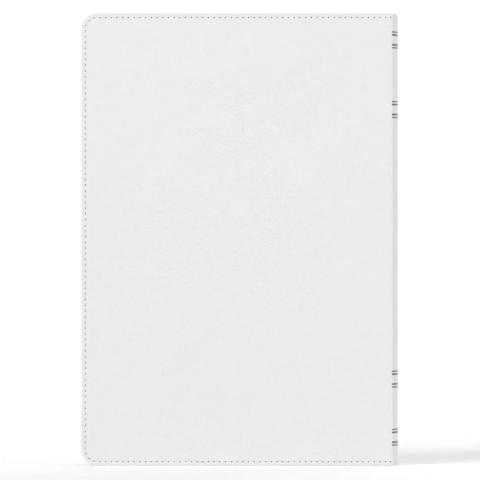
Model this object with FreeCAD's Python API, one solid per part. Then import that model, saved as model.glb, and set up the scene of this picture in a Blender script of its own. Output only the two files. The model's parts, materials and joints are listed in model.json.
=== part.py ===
import FreeCAD, Part

import math
import os

# A leather-look bible with a rounded hollow spine, standing upright on its
# tail edge. Millimetres. +Z runs from tail to head, +X towards the spine,
# -Y is the back cover and +Y the front cover. The origin is the centre of
# the outline at the level of the tail edge.

# Overall size of the closed book.
WIDTH = 155.0
THICKNESS = 30.8
HEIGHT = 221.0

# Case: a skin over boards, with pasted paper on the inside.
SKIN = 0.7
BOARD = 1.1
LINER = 0.3
TURN_IN = 12.0
PASTE_GAP = 0.1
CORNER_R = 7.8
OUTER_ROUND = 0.8
INNER_ROUND = 0.35

# Perimeter stitching.
STITCH_INSET = 1.95
STITCH_COUNT = 183
STITCH_LENGTH = 2.25
STITCH_WIDTH = 0.5
STITCH_HEIGHT = 0.25
GROOVE_WIDTH = 0.9
GROOVE_DEPTH = 0.3

# Text block: folded signatures on a gently rounded back.
SIGNATURES = 20
PITCH = 1.28
SIGNATURE_T = 1.22
FOLD_R = 0.52
TAPER_START = 2.5
TAPER_END = 6.0
SQUARE = 3.0
LEAF_W = 145.6
BACK_X = 72.6
BACK_SAGITTA = 1.5
MARKER_SLOT = 0.1
PAGE_CORNER_R = 5.0

# Headband and tailband: a woven bead with a cloth skirt down the back.
BEAD_IN = 0.9
BEAD_OUT = 0.75
BEAD_H = 1.65
BEAD_ROUND = 0.7
SKIRT_H = 7.0
SKIRT_T = 0.25

# Mull cloth and paper lining glued to the back, short of both ends.
BACKING_END = 8.0
MULL_T = 0.3
LINING_T = 0.25

# Sewing: thread in the valleys between folds, one run per station.
THREAD_R = 0.13
SEWING_RUNS = ((14.0, 22.0), (66.0, 78.0), (104.0, 117.0), (143.0, 155.0), (199.0, 207.0))

# Ribbon marker, laid down the gutter and curving towards the fore-edge.
RIBBON_T = 0.14
RIBBON_OUTLINE = (
    (66.0, 217.8), (71.4, 217.8), (70.9, 196.0), (45.0, 120.0),
    (39.5, 84.0), (38.6, 12.0), (35.6, 15.2), (32.6, 12.0),
    (33.5, 85.0), (39.2, 121.5), (64.6, 197.0))

# Loose leaves at the front and back of the block.
PAPER = 0.16
FLYLEAF_Y = 13.14
FLYLEAF_PIVOT_X = 71.15
PLATE_LEAF_Y = 12.93
PLATE_LEAF_PIVOT_X = 70.85

# Cover hinge: the line where the inside of the cover meets the shoulder.
# The cover plates are taken past COVER_END_X and cut back by the round
# clearance, whose other side the flexible joint fills.
HINGE_X = 71.2
HINGE_CLEAR_R = 5.4
COVER_END_X = 72.0
HINGE_PAPER_X = (64.0, 71.6)
HINGE_PAPER_GAP = 0.02

# Spine: an arc from crease to crease. Only its middle is stiffened; outside
# SPINE_STIFF_Y the skin is free to fold with the joint.
SPINE_CREASE_Y = 15.2
SPINE_CREASE_X = 74.1
SPINE_STIFF_Y = 10.8
STIFFENER = 0.5
SPINE_END_ROUND = 0.55

# Decorative foil rules on the spine: four groups of four.
RULE_GROUPS = (13.9, 42.3, 174.1, 208.1)
RULES = ((-3.85, 0.55), (-2.42, 0.8), (2.42, 0.8), (3.85, 0.55))
FOIL = 0.04
FOIL_SINK = 0.05

# Foil cross on the front cover.
CROSS_H = 44.0
CROSS_W = 28.0
CROSS_BAR = 2.4
CROSS_Z = 128.0
CROSS_ARM_Z = 141.0

HALF_W = WIDTH / 2.0
HALF_T = THICKNESS / 2.0
SKIN_IN_Y = HALF_T - SKIN
BOARD_IN_Y = SKIN_IN_Y - BOARD
COVER_IN_Y = BOARD_IN_Y - LINER
BLOCK_Z0 = SQUARE
BLOCK_Z1 = HEIGHT - SQUARE
BLOCK_HALF_T = SIGNATURES * PITCH / 2.0
BACK_R = (BLOCK_HALF_T ** 2 + BACK_SAGITTA ** 2) / (2.0 * BACK_SAGITTA)
BACK_CX = BACK_X - BACK_R
SPINE_DEPTH = HALF_W - SPINE_CREASE_X
SPINE_R = (SPINE_CREASE_Y ** 2 + SPINE_DEPTH ** 2) / (2.0 * SPINE_DEPTH)
SPINE_CX = HALF_W - SPINE_R
BIG = 400.0


def vec(x, y, z):
    return FreeCAD.Vector(x, y, z)


def box(x0, x1, y0, y1, z0, z1):
    return Part.makeBox(x1 - x0, y1 - y0, z1 - z0, vec(x0, y0, z0))


def prism_z(points, z0, z1):
    """Extrude a closed XY polygon from z0 to z1."""
    corners = [vec(x, y, z0) for x, y in points]
    wire = Part.makePolygon(corners + [corners[0]])
    return Part.Face(wire).extrude(vec(0, 0, z1 - z0))


def upright_cylinder(x, y, radius):
    return Part.makeCylinder(radius, BIG, vec(x, y, -50), vec(0, 0, 1))


def mirrored(shape):
    """The same piece on the back (-Y) side."""
    return shape.mirror(vec(0, 0, 0), vec(0, 1, 0))


def arc_band(cx, r_in, r_out, half_angle, z0, z1):
    """A strip curved about an upright axis at (cx, 0), facing +X."""
    def at(radius, angle):
        return vec(cx + radius * math.cos(angle), radius * math.sin(angle), z0)
    outer = Part.Arc(at(r_out, -half_angle), at(r_out, 0.0), at(r_out, half_angle))
    inner = Part.Arc(at(r_in, half_angle), at(r_in, 0.0), at(r_in, -half_angle))
    edges = [
        outer.toShape(),
        Part.makeLine(at(r_out, half_angle), at(r_in, half_angle)),
        inner.toShape(),
        Part.makeLine(at(r_in, -half_angle), at(r_out, -half_angle)),
    ]
    return Part.Face(Part.Wire(edges)).extrude(vec(0, 0, z1 - z0))


def cover_plan(inset, x_end, y0, y1):
    """The cover's outline, round at both fore-edge corners, as a plate."""
    radius = CORNER_R - inset
    x0 = -HALF_W + inset
    z0 = inset
    z1 = HEIGHT - inset
    k = radius * (1.0 - math.sqrt(0.5))
    low_arc = Part.Arc(
        vec(x0 + radius, y0, z0), vec(x0 + k, y0, z0 + k), vec(x0, y0, z0 + radius))
    high_arc = Part.Arc(
        vec(x0, y0, z1 - radius), vec(x0 + k, y0, z1 - k), vec(x0 + radius, y0, z1))
    edges = [
        Part.makeLine(vec(x_end, y0, z0), vec(x0 + radius, y0, z0)),
        low_arc.toShape(),
        Part.makeLine(vec(x0, y0, z0 + radius), vec(x0, y0, z1 - radius)),
        high_arc.toShape(),
        Part.makeLine(vec(x0 + radius, y0, z1), vec(x_end, y0, z1)),
        Part.makeLine(vec(x_end, y0, z1), vec(x_end, y0, z0)),
    ]
    return Part.Face(Part.Wire(edges)).extrude(vec(0, y1 - y0, 0))


def perimeter_edges(shape, y_level, x_end):
    """Outline edges at one level, without the edge at the spine side."""
    found = []
    for edge in shape.Edges:
        bounds = edge.BoundBox
        flat = bounds.YLength < 1e-6 and abs(bounds.YMin - y_level) < 1e-6
        if flat and bounds.XMin < x_end - 0.01:
            found.append(edge)
    return found


def stitch_path_point(distance):
    """Point and direction (x, z, dx, dz) along the stitch line."""
    radius = CORNER_R - STITCH_INSET
    x0 = -HALF_W + STITCH_INSET
    z0 = STITCH_INSET
    z1 = HEIGHT - STITCH_INSET
    run = SPINE_CREASE_X - (x0 + radius)
    side = (z1 - z0) - 2.0 * radius
    bend = radius * math.pi / 2.0
    if distance < run:
        return SPINE_CREASE_X - distance, z1, -1.0, 0.0
    distance -= run
    if distance < bend:
        a = distance / radius
        x = x0 + radius - radius * math.sin(a)
        z = z1 - radius + radius * math.cos(a)
        return x, z, -math.cos(a), -math.sin(a)
    distance -= bend
    if distance < side:
        return x0, z1 - radius - distance, 0.0, -1.0
    distance -= side
    if distance < bend:
        a = distance / radius
        x = x0 + radius - radius * math.cos(a)
        z = z0 + radius - radius * math.sin(a)
        return x, z, math.sin(a), -math.cos(a)
    distance -= bend
    return x0 + radius + distance, z0, 1.0, 0.0


def stitch_path_length():
    radius = CORNER_R - STITCH_INSET
    run = SPINE_CREASE_X - (-HALF_W + STITCH_INSET + radius)
    side = (HEIGHT - 2.0 * STITCH_INSET) - 2.0 * radius
    return 2.0 * run + side + math.pi * radius


def one_stitch(x, z, dx, dz):
    """A short thread lying in the groove of the front cover."""
    floor = HALF_T - GROOVE_DEPTH
    half_w = STITCH_WIDTH / 2.0
    section = (
        (-half_w, 0.0), (-half_w, 0.45 * STITCH_HEIGHT), (-0.5 * half_w, STITCH_HEIGHT),
        (0.5 * half_w, STITCH_HEIGHT), (half_w, 0.45 * STITCH_HEIGHT), (half_w, 0.0))
    sx = x - dx * STITCH_LENGTH / 2.0
    sz = z - dz * STITCH_LENGTH / 2.0
    corners = [vec(sx - dz * a, floor + b, sz + dx * a) for a, b in section]
    wire = Part.makePolygon(corners + [corners[0]])
    along = vec(dx * STITCH_LENGTH, 0, dz * STITCH_LENGTH)
    return Part.Face(wire).extrude(along)


def stitch_rows():
    """All stitches of the front cover, split at the joint."""
    pitch = stitch_path_length() / STITCH_COUNT
    on_cover = []
    on_joint = []
    joint_zone = upright_cylinder(HINGE_X, COVER_IN_Y, HINGE_CLEAR_R - 0.1)
    cover_edge_x = HINGE_X - HINGE_CLEAR_R
    for i in range(STITCH_COUNT):
        x, z, dx, dz = stitch_path_point((i + 0.5) * pitch)
        stitch = one_stitch(x, z, dx, dz)
        if x + STITCH_LENGTH / 2.0 < cover_edge_x:
            on_cover.append(stitch)
        else:
            on_joint.append(stitch.common(joint_zone))
    return Part.makeCompound(on_cover), Part.makeCompound(on_joint)


def groove_plate(x_end):
    half = GROOVE_WIDTH / 2.0
    floor = HALF_T - GROOVE_DEPTH
    outer = cover_plan(STITCH_INSET - half, x_end, floor, HALF_T + 1.0)
    inner = cover_plan(STITCH_INSET + half, x_end + 1.0, floor - 1.0, HALF_T + 2.0)
    return outer.cut(inner)


def cross_plate(y0, y1):
    half = CROSS_BAR / 2.0
    upright = box(-half, half, y0, y1, CROSS_Z - CROSS_H / 2.0, CROSS_Z + CROSS_H / 2.0)
    arm = box(-CROSS_W / 2.0, CROSS_W / 2.0, y0, y1, CROSS_ARM_Z - half, CROSS_ARM_Z + half)
    return upright.fuse(arm).removeSplitter()


def cover_skin(with_cross):
    """Outer skin of one cover, turned in over the board on three sides."""
    x_end = COVER_END_X
    skin = cover_plan(0.0, x_end, COVER_IN_Y, HALF_T)
    skin = skin.makeFillet(OUTER_ROUND, perimeter_edges(skin, HALF_T, x_end))
    skin = skin.makeFillet(INNER_ROUND, perimeter_edges(skin, COVER_IN_Y, x_end))
    skin = skin.cut(cover_plan(SKIN, x_end + 1.0, BOARD_IN_Y, SKIN_IN_Y))
    window = box(
        -HALF_W + TURN_IN, x_end + 1.0, COVER_IN_Y - 1.0, BOARD_IN_Y + 0.01,
        TURN_IN, HEIGHT - TURN_IN)
    skin = skin.cut(window)
    skin = skin.cut(groove_plate(x_end + 1.0))
    if with_cross:
        skin = skin.cut(cross_plate(HALF_T - FOIL_SINK, HALF_T + 1.0))
    return skin.cut(upright_cylinder(HINGE_X, COVER_IN_Y, HINGE_CLEAR_R))


def cover_board():
    board = cover_plan(SKIN, COVER_END_X, BOARD_IN_Y, SKIN_IN_Y)
    return board.cut(upright_cylinder(HINGE_X, COVER_IN_Y, HINGE_CLEAR_R + 0.2))


def pastedown():
    edge = TURN_IN + PASTE_GAP
    sheet = box(-HALF_W + edge, COVER_END_X, COVER_IN_Y, BOARD_IN_Y, edge, HEIGHT - edge)
    return sheet.cut(upright_cylinder(HINGE_X, COVER_IN_Y, HINGE_CLEAR_R))


def spine_point(radius):
    """Where the end face of the spine skin crosses one radius."""
    angle = spine_angle(SPINE_CREASE_Y)
    return SPINE_CX + radius * math.cos(angle), radius * math.sin(angle)


def joint_leather():
    """Flexible skin from the cover over the crease to the stiff spine."""
    x0 = HINGE_X - 1.3 * HINGE_CLEAR_R
    inner_x, inner_y = spine_point(SPINE_R - SKIN)
    shoulder_x = inner_x - 0.5
    strip = prism_z(
        ((x0, SKIN_IN_Y), (shoulder_x, SKIN_IN_Y), (inner_x, inner_y),
         (SPINE_CREASE_X, SPINE_CREASE_Y), (SPINE_CREASE_X - 0.55, HALF_T), (x0, HALF_T)),
        0.0, HEIGHT)
    lap_y = SKIN_IN_Y + 0.1
    for z0, z1 in ((0.0, SKIN), (HEIGHT - SKIN, HEIGHT)):
        end_wall = box(x0, shoulder_x - 0.3, BOARD_IN_Y, lap_y, z0, z1)
        strip = strip.fuse(end_wall)
    for z0, z1 in ((0.0, TURN_IN), (HEIGHT - TURN_IN, HEIGHT)):
        flap = box(x0, shoulder_x - 0.5, BOARD_IN_Y, BOARD_IN_Y + LINER, z0, z1)
        strip = strip.fuse(flap)
    strip = strip.cut(groove_plate(2.0 * HALF_W))
    reach = HINGE_CLEAR_R - 0.05
    strip = strip.common(upright_cylinder(HINGE_X, COVER_IN_Y, reach))
    side = rounded_spine_band().cut(stiff_zone())
    side = side.common(box(0.0, BIG, 0.0, BIG, -1.0, HEIGHT + 1.0))
    for ring in foil_rings(FOIL_SINK, 1.0):
        side = side.cut(ring)
    return strip.fuse(side).removeSplitter()


def hinge_paper():
    """Endpaper crossing from the pastedown to the shoulder of the block."""
    edge = TURN_IN + PASTE_GAP
    y0 = COVER_IN_Y + HINGE_PAPER_GAP
    strip = box(HINGE_PAPER_X[0], HINGE_PAPER_X[1], y0, COVER_IN_Y + 0.2, edge, HEIGHT - edge)
    return strip.common(upright_cylinder(HINGE_X, COVER_IN_Y, HINGE_CLEAR_R - 0.05))


def back_x_at(y):
    return BACK_CX + math.sqrt(BACK_R ** 2 - y ** 2)


def round_page_corners(section, fore_x):
    """Round the head and tail corners at the fore-edge."""
    corners = []
    for edge in section.Edges:
        bounds = edge.BoundBox
        if bounds.ZLength < 1e-6 and bounds.XMax < fore_x + 0.01:
            corners.append(edge)
    return section.makeFillet(PAGE_CORNER_R, corners)


def signature(index):
    """One folded section: round fold at the back, thinner by the gutter."""
    y_mid = (index - (SIGNATURES - 1) / 2.0) * PITCH
    pivot_x = back_x_at(y_mid) - FOLD_R
    half = SIGNATURE_T / 2.0
    low = half
    high = half
    if index == SIGNATURES // 2 - 1:
        high = half - MARKER_SLOT
    if index == SIGNATURES // 2:
        low = half - MARKER_SLOT
    fore_low = back_x_at(y_mid - low) - LEAF_W
    fore_high = back_x_at(y_mid + high) - LEAF_W

    def at(x, y):
        return vec(x, y, BLOCK_Z0)

    fold = Part.Arc(
        at(pivot_x, y_mid + FOLD_R), at(pivot_x + FOLD_R, y_mid), at(pivot_x, y_mid - FOLD_R))
    low_near = min(low, FOLD_R)
    high_near = min(high, FOLD_R)
    path = [
        at(pivot_x, y_mid - FOLD_R),
        at(pivot_x - TAPER_START, y_mid - low_near),
        at(pivot_x - TAPER_END, y_mid - low),
        at(fore_low, y_mid - low),
        at(fore_high, y_mid + high),
        at(pivot_x - TAPER_END, y_mid + high),
        at(pivot_x - TAPER_START, y_mid + high_near),
        at(pivot_x, y_mid + FOLD_R),
    ]
    edges = [fold.toShape()]
    for a, b in zip(path[:-1], path[1:]):
        edges.append(Part.makeLine(a, b))
    face = Part.Face(Part.Wire(Part.__sortEdges__(edges)))
    section = face.extrude(vec(0, 0, BLOCK_Z1 - BLOCK_Z0))
    return round_page_corners(section, max(fore_low, fore_high))


def loose_leaf(pivot_x, y_mid):
    """A single leaf with its hinge edge at the shoulder."""
    half = PAPER / 2.0
    height = BLOCK_Z1 - BLOCK_Z0
    fore_x = back_x_at(BLOCK_HALF_T) - LEAF_W - 0.05
    sheet = box(fore_x, pivot_x, y_mid - half, y_mid + half, BLOCK_Z0, BLOCK_Z1)
    sheet = round_page_corners(sheet, fore_x)
    rounded = Part.makeCylinder(half, height, vec(pivot_x, y_mid, BLOCK_Z0), vec(0, 0, 1))
    return sheet.fuse(rounded).removeSplitter()


def spine_angle(y):
    """Angle on the outer arc of the spine at one distance from its middle."""
    return math.asin(y / SPINE_R)


def rounded_spine_band():
    """The whole arc of spine skin, crease to crease, rounded at both ends."""
    skin = arc_band(
        SPINE_CX, SPINE_R - SKIN, SPINE_R, spine_angle(SPINE_CREASE_Y), 0.0, HEIGHT)
    edges = []
    for edge in skin.Edges:
        bounds = edge.BoundBox
        if bounds.ZLength < 1e-6 and bounds.XMax > HALF_W - 0.01:
            edges.append(edge)
    return skin.makeFillet(SPINE_END_ROUND, edges)


def stiff_zone():
    """Wedge that holds the middle part of the spine."""
    return arc_band(
        SPINE_CX, SPINE_R - 8.0, SPINE_R + 4.0, spine_angle(SPINE_STIFF_Y), -1.0, HEIGHT + 1.0)


def spine_skin():
    skin = rounded_spine_band().common(stiff_zone())
    half_angle = spine_angle(SPINE_STIFF_Y)
    lip_in = SPINE_R - SKIN - STIFFENER
    for z0, z1 in ((0.0, SKIN), (HEIGHT - SKIN, HEIGHT)):
        lip = arc_band(SPINE_CX, lip_in, SPINE_R - SKIN + 0.05, half_angle - 0.005, z0, z1)
        skin = skin.fuse(lip)
    skin = skin.removeSplitter()
    for ring in foil_rings(FOIL_SINK, 1.0):
        skin = skin.cut(ring)
    return skin


def foil_rings(sink, rise):
    rings = []
    half_angle = spine_angle(SPINE_CREASE_Y) - 0.012
    for centre in RULE_GROUPS:
        for offset, width in RULES:
            z0 = centre + offset - width / 2.0
            rings.append(arc_band(
                SPINE_CX, SPINE_R - sink, SPINE_R + rise, half_angle, z0, z0 + width))
    return rings


def spine_foil():
    return Part.makeCompound(foil_rings(FOIL_SINK, FOIL - FOIL_SINK))


def spine_stiffener():
    half_angle = spine_angle(SPINE_STIFF_Y) - 0.01
    r_out = SPINE_R - SKIN
    return arc_band(SPINE_CX, r_out - STIFFENER, r_out, half_angle, SKIN, HEIGHT - SKIN)


def back_band(r0, r1, z0, z1):
    """A cloth or paper strip glued along the rounded back of the block."""
    half_angle = math.asin((BLOCK_HALF_T - 0.3) / BACK_R)
    return arc_band(BACK_CX, BACK_R + r0, BACK_R + r1, half_angle, z0, z1)


def headband(at_head):
    """Woven bead on the end of the block with a skirt down the back."""
    bead = back_band(-BEAD_IN, BEAD_OUT, BLOCK_Z1 + 0.05, BLOCK_Z1 + BEAD_H)
    edges = []
    for edge in bead.Edges:
        bounds = edge.BoundBox
        if bounds.ZLength < 1e-6 and bounds.ZMin > BLOCK_Z1 + 1.0 and bounds.YLength > 5.0:
            edges.append(edge)
    bead = bead.makeFillet(BEAD_ROUND, edges)
    r0 = BEAD_OUT - 0.05
    skirt = back_band(r0, r0 + SKIRT_T, BLOCK_Z1 - SKIRT_H, BLOCK_Z1 + 0.9)
    band = bead.fuse(skirt).removeSplitter()
    if at_head:
        return band
    return band.mirror(vec(0, 0, HEIGHT / 2.0), vec(0, 0, 1))


def ribbon_marker():
    """Flat ribbon lying in the gutter gap between the two middle sections."""
    corners = [vec(x, -RIBBON_T / 2.0, z) for x, z in RIBBON_OUTLINE]
    wire = Part.makePolygon(corners + [corners[0]])
    return Part.Face(wire).extrude(vec(0, RIBBON_T, 0))


def sewing_thread():
    """Thread lying in the valleys between folds at each sewing station."""
    threads = []
    for i in range(SIGNATURES - 1):
        y = (i + 1 - SIGNATURES / 2.0) * PITCH
        x = back_x_at(y) - THREAD_R - 0.03
        for z0, z1 in SEWING_RUNS:
            threads.append(Part.makeCylinder(THREAD_R, z1 - z0, vec(x, y, z0), vec(0, 0, 1)))
    return Part.makeCompound(threads)


def front_foil_cross():
    return cross_plate(HALF_T - FOIL_SINK, HALF_T - FOIL_SINK + FOIL)


def write(name, shape):
    shape.exportStep("parts/" + name + ".step")


os.makedirs("parts", exist_ok=True)

stitches, joint_stitches = stitch_rows()

# Pieces that come in a front and a back version.
pairs = {
    "board": cover_board(),
    "pastedown": pastedown(),
    "stitching": stitches,
    "joint_leather": joint_leather(),
    "joint_stitching": joint_stitches,
    "hinge_paper": hinge_paper(),
    "flyleaf": loose_leaf(FLYLEAF_PIVOT_X, FLYLEAF_Y),
}
for name, shape in pairs.items():
    write("front_" + name, shape)
    write("back_" + name, mirrored(shape))

write("front_cover_skin", cover_skin(True))
write("back_cover_skin", mirrored(cover_skin(False)))
write("front_foil_cross", front_foil_cross())
plate_leaf = loose_leaf(PLATE_LEAF_PIVOT_X, PLATE_LEAF_Y)
write("presentation_leaf", plate_leaf)
write("map_leaf", mirrored(plate_leaf))

write("spine_skin", spine_skin())
write("spine_stiffener", spine_stiffener())
write("spine_foil_bands", spine_foil())
low = BLOCK_Z0 + BACKING_END
high = BLOCK_Z1 - BACKING_END
mull_in = 0.05
lining_in = mull_in + MULL_T + 0.02
write("mull", back_band(mull_in, mull_in + MULL_T, low, high))
write("spine_lining", back_band(lining_in, lining_in + LINING_T, low, high))
write("headband", headband(True))
write("tailband", headband(False))
write("ribbon_marker", ribbon_marker())
write("sewing_thread", sewing_thread())

for i in range(SIGNATURES):
    write("signature_%02d" % (i + 1), signature(i))
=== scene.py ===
import json
import math
import random

import bmesh
import bpy
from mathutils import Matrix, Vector, noise


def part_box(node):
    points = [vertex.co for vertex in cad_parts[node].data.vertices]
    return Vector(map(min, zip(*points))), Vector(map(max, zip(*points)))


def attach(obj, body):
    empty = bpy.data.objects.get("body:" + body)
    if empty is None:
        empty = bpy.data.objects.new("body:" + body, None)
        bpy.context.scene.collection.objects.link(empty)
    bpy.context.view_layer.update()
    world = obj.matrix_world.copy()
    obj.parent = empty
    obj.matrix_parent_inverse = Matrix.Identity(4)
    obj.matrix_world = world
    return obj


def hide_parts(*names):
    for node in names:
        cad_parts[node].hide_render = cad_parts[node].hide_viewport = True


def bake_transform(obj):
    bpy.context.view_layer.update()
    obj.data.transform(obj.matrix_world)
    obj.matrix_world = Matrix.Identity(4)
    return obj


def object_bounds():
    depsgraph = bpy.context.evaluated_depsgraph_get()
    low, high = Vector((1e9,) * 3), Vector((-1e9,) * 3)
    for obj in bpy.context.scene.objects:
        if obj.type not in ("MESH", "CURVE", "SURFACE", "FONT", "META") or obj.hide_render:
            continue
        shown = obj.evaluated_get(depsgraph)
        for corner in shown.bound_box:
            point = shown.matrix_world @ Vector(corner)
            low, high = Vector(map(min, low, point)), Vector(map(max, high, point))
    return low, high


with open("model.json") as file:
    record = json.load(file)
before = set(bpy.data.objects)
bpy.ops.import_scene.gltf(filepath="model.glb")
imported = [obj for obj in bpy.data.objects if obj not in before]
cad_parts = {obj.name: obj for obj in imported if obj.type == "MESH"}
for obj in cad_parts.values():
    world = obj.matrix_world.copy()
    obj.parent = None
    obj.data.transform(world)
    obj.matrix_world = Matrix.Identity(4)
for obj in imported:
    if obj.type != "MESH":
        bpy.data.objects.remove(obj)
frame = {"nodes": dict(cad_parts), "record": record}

cad_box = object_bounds()

# ---------------------------------------------------------------- dimensions
# Millimetres in the shared frame: x runs from the fore-edge to the spine, y from
# the back cover to the front one, and z up from the tail. The outline is the CAD's.
MM = 0.001
HIGH = cad_box[1]
HALF_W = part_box("back_cover_skin")[0][0] / -MM
HALF_T = HIGH[1] / MM
HEIGHT = HIGH[2] / MM
CREASE_X = 74.1
SPINE_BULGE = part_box("spine_skin")[1][0] / MM - CREASE_X
SPINE_SPLIT_Y = 10.8
SIDES = {"front": 1.0, "back": -1.0}

# The leather skin, its turned-in edge and its joint.
CORNER_R = 7.8
LEATHER_T = 0.2
PANEL_DEPTH = 0.05
PANEL_STEP = 1.15
TURN_IN = 12.4
JOINT_X = 66.0

# The seam and the groove that it is pulled into.
STITCH_INSET = 1.95
STITCH_COUNT = 183
GROOVE_DEPTH = 0.28
GROOVE_WIDTH = 0.34

# Foil on the spine: heights of the groups, then (offset, width) of each rule.
FOIL_GROUPS = (13.9, 42.3, 174.1, 208.1)
FOIL_RULES = ((-3.85, 0.6), (-2.42, 0.8), (2.42, 0.8), (3.85, 0.6))
FOIL_RISE = 0.035
FOIL_SINK = 0.03
FOIL_END_Y = 15.36

# Paper inside the cover, and the silk bands at head and tail.
INNER_DEPTH = 2.1
BLOCK_INSET = 3.0
HEADBAND_TURN = 1.1


# ----------------------------------------------------------------- materials
class Shader:
    """A small helper that adds and links nodes in one material."""

    def __init__(self, name):
        self.material = bpy.data.materials.new(name)
        self.material.use_nodes = True
        self.nodes = self.material.node_tree.nodes
        self.links = self.material.node_tree.links
        self.bsdf = self.nodes["Principled BSDF"]
        self.coords = self.nodes.new("ShaderNodeTexCoord")

    def link(self, source, target):
        self.links.new(source, target)

    def mapping(self, scale, source=None, rotation=(0, 0, 0)):
        node = self.nodes.new("ShaderNodeMapping")
        node.inputs["Scale"].default_value = scale
        node.inputs["Rotation"].default_value = rotation
        self.link(source or self.coords.outputs["Object"], node.inputs["Vector"])
        return node.outputs["Vector"]

    def noise(self, vector, scale, detail=3.0, roughness=0.5, distortion=0.0):
        node = self.nodes.new("ShaderNodeTexNoise")
        node.inputs["Scale"].default_value = scale
        node.inputs["Detail"].default_value = detail
        node.inputs["Roughness"].default_value = roughness
        node.inputs["Distortion"].default_value = distortion
        self.link(vector, node.inputs["Vector"])
        return node.outputs["Fac"]

    def voronoi(self, vector, scale, feature="F1", smooth=None):
        node = self.nodes.new("ShaderNodeTexVoronoi")
        node.feature = feature
        node.inputs["Scale"].default_value = scale
        if smooth is not None:
            node.inputs["Smoothness"].default_value = smooth
        self.link(vector, node.inputs["Vector"])
        return node.outputs["Distance"]

    def wave(self, vector, scale, direction, distortion=0.0, detail=1.0):
        node = self.nodes.new("ShaderNodeTexWave")
        node.bands_direction = direction
        node.inputs["Scale"].default_value = scale
        node.inputs["Distortion"].default_value = distortion
        node.inputs["Detail"].default_value = detail
        self.link(vector, node.inputs["Vector"])
        return node.outputs["Fac"]

    def math(self, operation, a, b=None, clamp=False):
        node = self.nodes.new("ShaderNodeMath")
        node.operation = operation
        node.use_clamp = clamp
        for socket, value in zip(node.inputs, (a, b)):
            if value is None:
                continue
            if isinstance(value, (int, float)):
                socket.default_value = value
            else:
                self.link(value, socket)
        return node.outputs["Value"]

    def remap(self, value, low, high, to_low, to_high):
        node = self.nodes.new("ShaderNodeMapRange")
        node.inputs["From Min"].default_value = low
        node.inputs["From Max"].default_value = high
        node.inputs["To Min"].default_value = to_low
        node.inputs["To Max"].default_value = to_high
        self.link(value, node.inputs["Value"])
        return node.outputs["Result"]

    def mix(self, factor, colour_a, colour_b):
        node = self.nodes.new("ShaderNodeMix")
        node.data_type = "RGBA"
        sockets = (node.inputs["Factor"], node.inputs[6], node.inputs[7])
        for socket, value in zip(sockets, (factor, colour_a, colour_b)):
            if isinstance(value, tuple):
                socket.default_value = (*value, 1.0)
            elif isinstance(value, (int, float)):
                socket.default_value = value
            else:
                self.link(value, socket)
        return node.outputs[2]

    def within(self, value, centre, reach):
        """One where the value is no further than reach from the centre."""
        near = self.math("COMPARE", value, centre)
        near.node.inputs[2].default_value = reach
        return near

    def separate(self, vector):
        node = self.nodes.new("ShaderNodeSeparateXYZ")
        self.link(vector, node.inputs["Vector"])
        return node.outputs["X"], node.outputs["Y"], node.outputs["Z"]

    def bump(self, height, strength, distance, normal=None):
        node = self.nodes.new("ShaderNodeBump")
        node.inputs["Strength"].default_value = strength
        node.inputs["Distance"].default_value = distance
        self.link(height, node.inputs["Height"])
        if normal is not None:
            self.link(normal, node.inputs["Normal"])
        return node.outputs["Normal"]

    def finish(self, colour=None, roughness=None, normal=None, **constants):
        if colour is not None:
            if isinstance(colour, tuple):
                self.bsdf.inputs["Base Color"].default_value = (*colour, 1.0)
            else:
                self.link(colour, self.bsdf.inputs["Base Color"])
        if roughness is not None:
            if isinstance(roughness, float):
                self.bsdf.inputs["Roughness"].default_value = roughness
            else:
                self.link(roughness, self.bsdf.inputs["Roughness"])
        if normal is not None:
            self.link(normal, self.bsdf.inputs["Normal"])
        for name, value in constants.items():
            self.bsdf.inputs[name.replace("_", " ")].default_value = value
        return self.material


def leather_material():
    """White polyurethane leather: fine pebbles, sparse soft wrinkles."""
    s = Shader("white_leather")
    place = s.coords.outputs["Object"]
    bend = s.noise(place, 500.0, 2.0)
    warp = s.nodes.new("ShaderNodeVectorMath")
    warp.operation = "MULTIPLY_ADD"
    warp.inputs[1].default_value = (0.0005, 0.0005, 0.0005)
    s.link(bend, warp.inputs[0])
    s.link(place, warp.inputs[2])
    cells = s.voronoi(warp.outputs["Vector"], 900.0, "DISTANCE_TO_EDGE")
    pebbles = s.remap(cells, 0.0, 0.22, 0.0, 1.0)
    fine = s.noise(place, 2200.0, 2.0)
    skin = s.noise(place, 260.0, 4.0, 0.6)
    slanted = s.mapping((0.6, 1.0, 1.0), rotation=(0.0, 0.4, 0.0))
    wrinkles = s.noise(slanted, 110.0, 3.0, 0.55, 1.2)
    creases = s.math("ABSOLUTE", s.math("SUBTRACT", wrinkles, 0.5))
    creases = s.remap(creases, 0.0, 0.06, 1.0, 0.0)
    patches = s.remap(s.noise(place, 30.0, 2.0), 0.42, 0.66, 0.0, 1.0)
    creases = s.math("MULTIPLY", creases, patches)
    normal = s.bump(pebbles, 0.5, 0.00009)
    normal = s.bump(fine, 0.2, 0.00006, normal)
    normal = s.bump(skin, 0.4, 0.0003, normal)
    normal = s.bump(s.math("MULTIPLY", creases, -1.0), 0.45, 0.00016, normal)
    tone = s.mix(s.noise(place, 40.0, 3.0), (0.795, 0.780, 0.788), (0.815, 0.800, 0.808))
    # Painted shade: the valleys between the pebbles are darkened towards a greyer white.
    tone = s.mix(s.remap(pebbles, 0.0, 0.5, 0.25, 0.0), tone, (0.70, 0.685, 0.693))
    roughness = s.remap(pebbles, 0.0, 1.0, 0.60, 0.44)
    return s.finish(tone, roughness, normal, Specular_IOR_Level=0.35)


def thread_material(name, colour_a, colour_b):
    """Sewing thread: fine strands and a slightly uneven tone."""
    s = Shader(name)
    place = s.coords.outputs["Object"]
    strands = s.noise(place, 4500.0, 2.0)
    tone = s.mix(s.noise(place, 900.0, 2.0), colour_a, colour_b)
    normal = s.bump(strands, 0.5, 0.00006)
    return s.finish(tone, s.remap(strands, 0.3, 0.7, 0.55, 0.8), normal, Sheen_Weight=0.2)


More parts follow.
